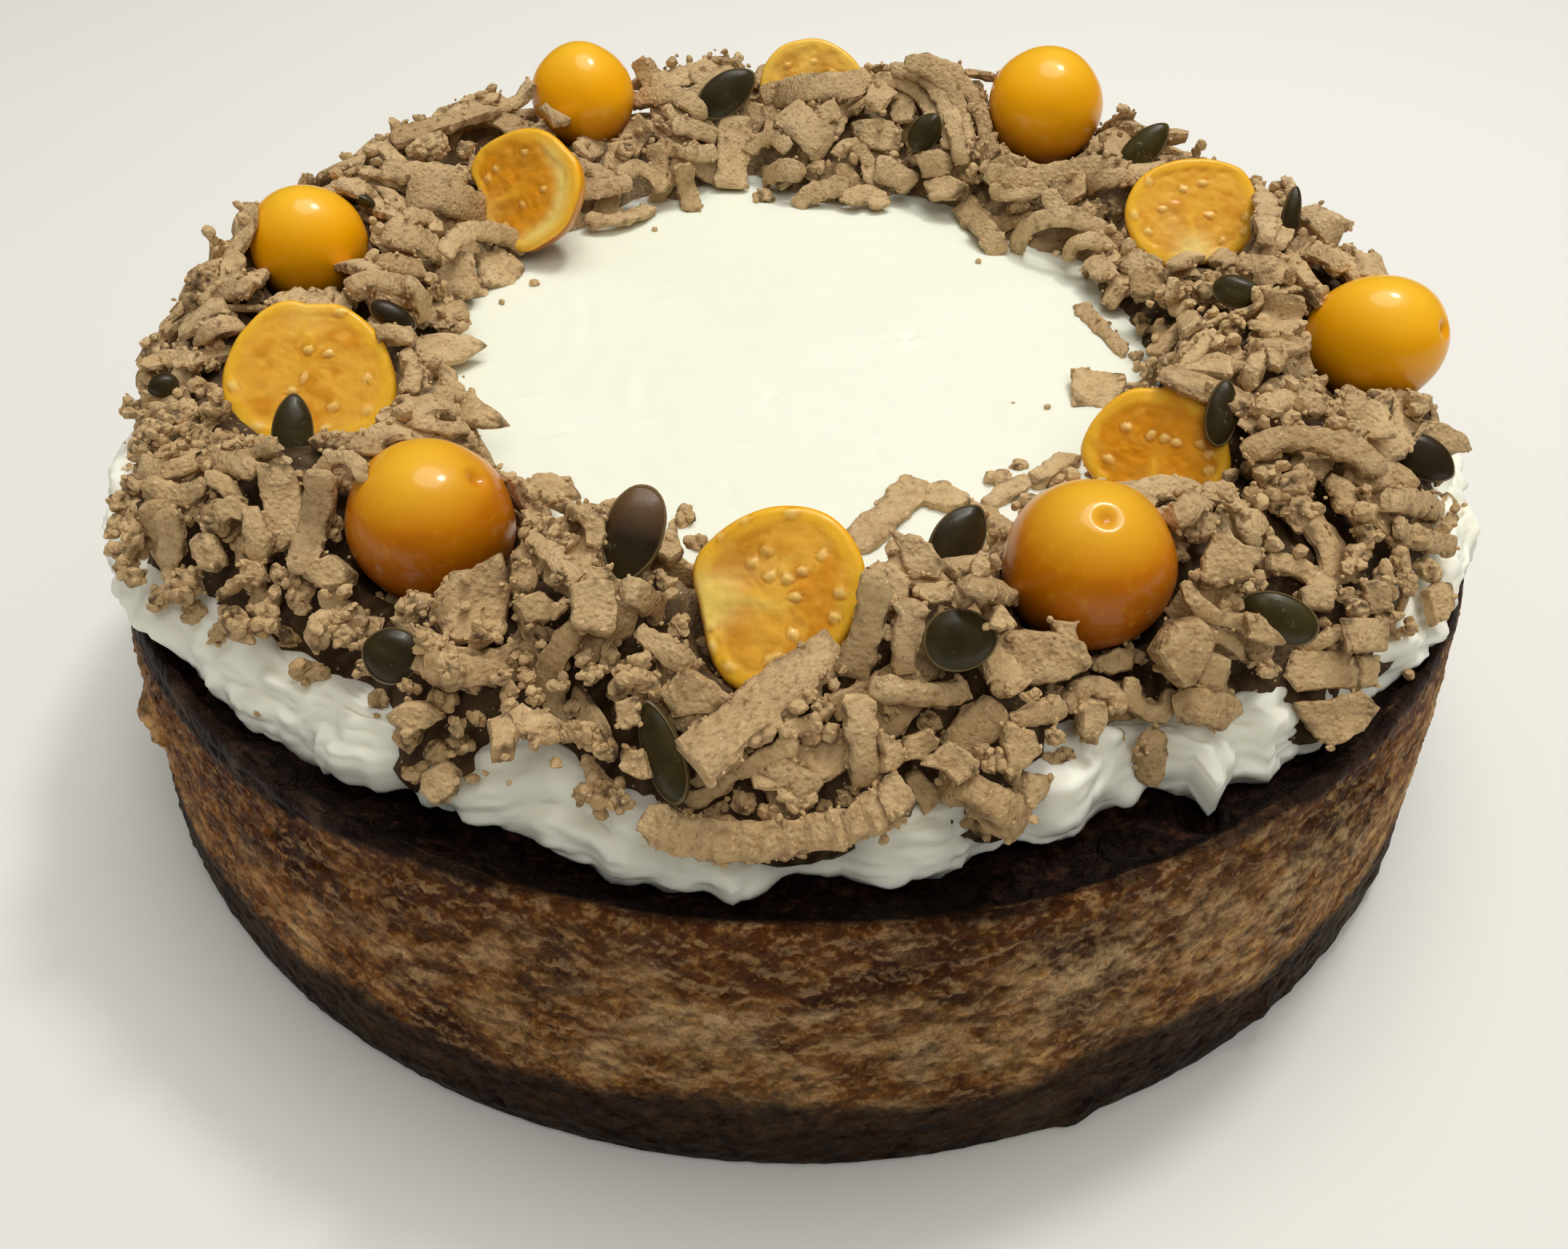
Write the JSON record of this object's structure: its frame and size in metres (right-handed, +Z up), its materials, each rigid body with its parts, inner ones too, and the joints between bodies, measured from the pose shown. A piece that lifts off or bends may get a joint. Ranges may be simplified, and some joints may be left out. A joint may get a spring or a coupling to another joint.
{
  "type": "cheesecake",
  "caption": "Whole round baked cheesecake with a dark base, white cream and a ring of grated shavings set with golden berries.",
  "frame": {"origin": "centre of the cake's underside, on the surface it stands on", "axes": "+Z up through the cake's axis; -Y towards the viewer of the picture; +X to the right"},
  "size_m": [0.2, 0.2, 0.0729],
  "materials": {
    "biscuit": "dark baked biscuit crust, dry and finely pitted",
    "filling": "browned baked filling skin, mottled golden to near-black, satin",
    "cream": "soft spread cream, ivory white, satin",
    "shavings": "soft grated fudge-like shavings, beige-brown, dull",
    "berry_skin": "smooth taut golden-orange berry skin, glossy",
    "berry_flesh": "wet cut berry flesh with seeds, golden, glossy",
    "seed": "dark olive pumpkin seed, satin"
  },
  "bodies": {
    "root": {"biscuit_base": "biscuit", "baked_filling": "filling", "cream_layer": "cream", "shavings_ring": "shavings", "physalis_whole_1": "berry_skin", "physalis_whole_2": "berry_skin", "physalis_whole_3": "berry_skin", "physalis_whole_4": "berry_skin", "physalis_whole_5": "berry_skin", "physalis_whole_6": "berry_skin", "physalis_half_1": "berry_flesh", "physalis_half_2": "berry_flesh", "physalis_half_3": "berry_flesh", "physalis_half_4": "berry_flesh", "physalis_half_5": "berry_flesh", "physalis_half_6": "berry_flesh"}
  },
  "joints": []
}
